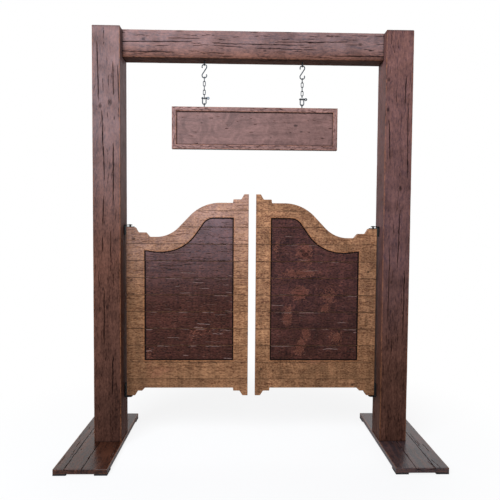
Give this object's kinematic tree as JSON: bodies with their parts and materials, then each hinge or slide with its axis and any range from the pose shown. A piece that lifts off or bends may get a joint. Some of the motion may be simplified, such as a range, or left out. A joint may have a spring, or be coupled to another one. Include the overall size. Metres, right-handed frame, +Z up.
{
  "type": "cafe swinging doors",
  "caption": "Free-standing cafe swinging doors: shaped board leaves on double-action spring pivots between square posts on base boards, with a blank sign hung on chains under the lintel.",
  "frame": {"origin": "on the floor, in the middle of the area that the base boards cover", "axes": "+X across the doorway to the right as seen from the front, +Y through the doorway from front to back, +Z up"},
  "size_m": [1.97, 0.71, 2.308],
  "materials": {
    "frame_timber": "semi-gloss dark walnut stain",
    "base_timber": "gloss varnish",
    "leaf_timber": "satin varnish",
    "sign_timber": "satin varnish",
    "black_steel": "satin black",
    "zinc_steel": "zinc-plated",
    "bright_steel": "bright",
    "washer_bronze": "turned",
    "pad_rubber": "matt"
  },
  "bodies": {
    "frame": {"left_post": "frame_timber", "right_post": "frame_timber", "lintel": "frame_timber", "left_base_board": "base_timber", "right_base_board": "base_timber", "base_pads": "pad_rubber", "lag_screws": "zinc_steel", "lintel_eyes": "zinc_steel", "left_top_bracket": "black_steel", "left_bottom_bracket": "black_steel", "right_top_bracket": "black_steel", "right_bottom_bracket": "black_steel", "bracket_screws": "black_steel", "top_pins": "bright_steel", "bottom_pins": "bright_steel", "thrust_washers": "washer_bronze"},
    "left_leaf": {"left_board_01": "leaf_timber", "left_board_02": "leaf_timber", "left_board_03": "leaf_timber", "left_board_04": "leaf_timber", "left_board_05": "leaf_timber", "left_board_06": "leaf_timber", "left_board_07": "leaf_timber", "left_board_08": "leaf_timber", "left_board_09": "leaf_timber", "left_board_10": "leaf_timber", "left_board_11": "leaf_timber", "left_board_12": "leaf_timber", "left_top_socket": "black_steel", "left_spring_barrel": "black_steel", "left_spring": "bright_steel", "left_leaf_screws": "black_steel"},
    "right_leaf": {"right_board_01": "leaf_timber", "right_board_02": "leaf_timber", "right_board_03": "leaf_timber", "right_board_04": "leaf_timber", "right_board_05": "leaf_timber", "right_board_06": "leaf_timber", "right_board_07": "leaf_timber", "right_board_08": "leaf_timber", "right_board_09": "leaf_timber", "right_board_10": "leaf_timber", "right_board_11": "leaf_timber", "right_board_12": "leaf_timber", "right_top_socket": "black_steel", "right_spring_barrel": "black_steel", "right_spring": "bright_steel", "right_leaf_screws": "black_steel"},
    "left_hook": {"left_s_hook": "zinc_steel"},
    "right_hook": {"right_s_hook": "zinc_steel"},
    "left_hanging_chain": {"left_chain": "zinc_steel"},
    "right_hanging_chain": {"right_chain": "zinc_steel"},
    "left_bow": {"left_shackle": "zinc_steel"},
    "right_bow": {"right_shackle": "zinc_steel"},
    "sign": {"sign_panel": "sign_timber", "sign_top_batten": "sign_timber", "sign_bottom_batten": "sign_timber", "sign_left_batten": "sign_timber", "sign_right_batten": "sign_timber", "sign_eyes": "zinc_steel"}
  },
  "joints": [
    {"name": "left_leaf_swing", "type": "hinge", "parent": "frame", "child": "left_leaf", "pos_m": [-0.691, 0.036, 0.268], "axis": [0, 0, 1], "range_deg": [-90, 90], "stiffness_Nm_per_rad": 4},
    {"name": "right_leaf_swing", "type": "hinge", "parent": "frame", "child": "right_leaf", "pos_m": [0.691, 0.036, 0.268], "axis": [0, 0, 1], "range_deg": [-90, 90], "stiffness_Nm_per_rad": 4},
    {"name": "sign_swing", "type": "hinge", "parent": "frame", "child": "left_hook", "pos_m": [-0.275, 0.036, 2.1393], "axis": [1, 0, 0], "range_deg": [-60, 60]},
    {"name": "right_hook_swing", "type": "hinge", "parent": "frame", "child": "right_hook", "pos_m": [0.275, 0.036, 2.1393], "axis": [1, 0, 0], "range_deg": [-60, 60]},
    {"name": "sign_sway", "type": "hinge", "parent": "left_hook", "child": "left_hanging_chain", "pos_m": [-0.275, 0.036, 2.0706], "axis": [0, 1, 0], "range_deg": [-25, 25]},
    {"name": "right_chain_sway", "type": "hinge", "parent": "right_hook", "child": "right_hanging_chain", "pos_m": [0.275, 0.036, 2.0706], "axis": [0, 1, 0], "range_deg": [-25, 25]},
    {"name": "left_shackle_sway", "type": "hinge", "parent": "left_hanging_chain", "child": "left_bow", "pos_m": [-0.275, 0.036, 1.9474], "axis": [0, 1, 0], "range_deg": [-25, 25]},
    {"name": "right_shackle_sway", "type": "hinge", "parent": "right_hanging_chain", "child": "right_bow", "pos_m": [0.275, 0.036, 1.9474], "axis": [0, 1, 0], "range_deg": [-25, 25]},
    {"name": "sign_tilt", "type": "hinge", "parent": "left_bow", "child": "sign", "pos_m": [-0.275, 0.036, 1.9187], "axis": [1, 0, 0], "range_deg": [-30, 30]}
  ],
  "couplings": [
    {"joint": "right_hook_swing", "follows": "sign_swing", "ratio": 1},
    {"joint": "right_chain_sway", "follows": "sign_sway", "ratio": 1},
    {"joint": "left_shackle_sway", "follows": "sign_sway", "ratio": -1},
    {"joint": "right_shackle_sway", "follows": "sign_sway", "ratio": -1}
  ]
}
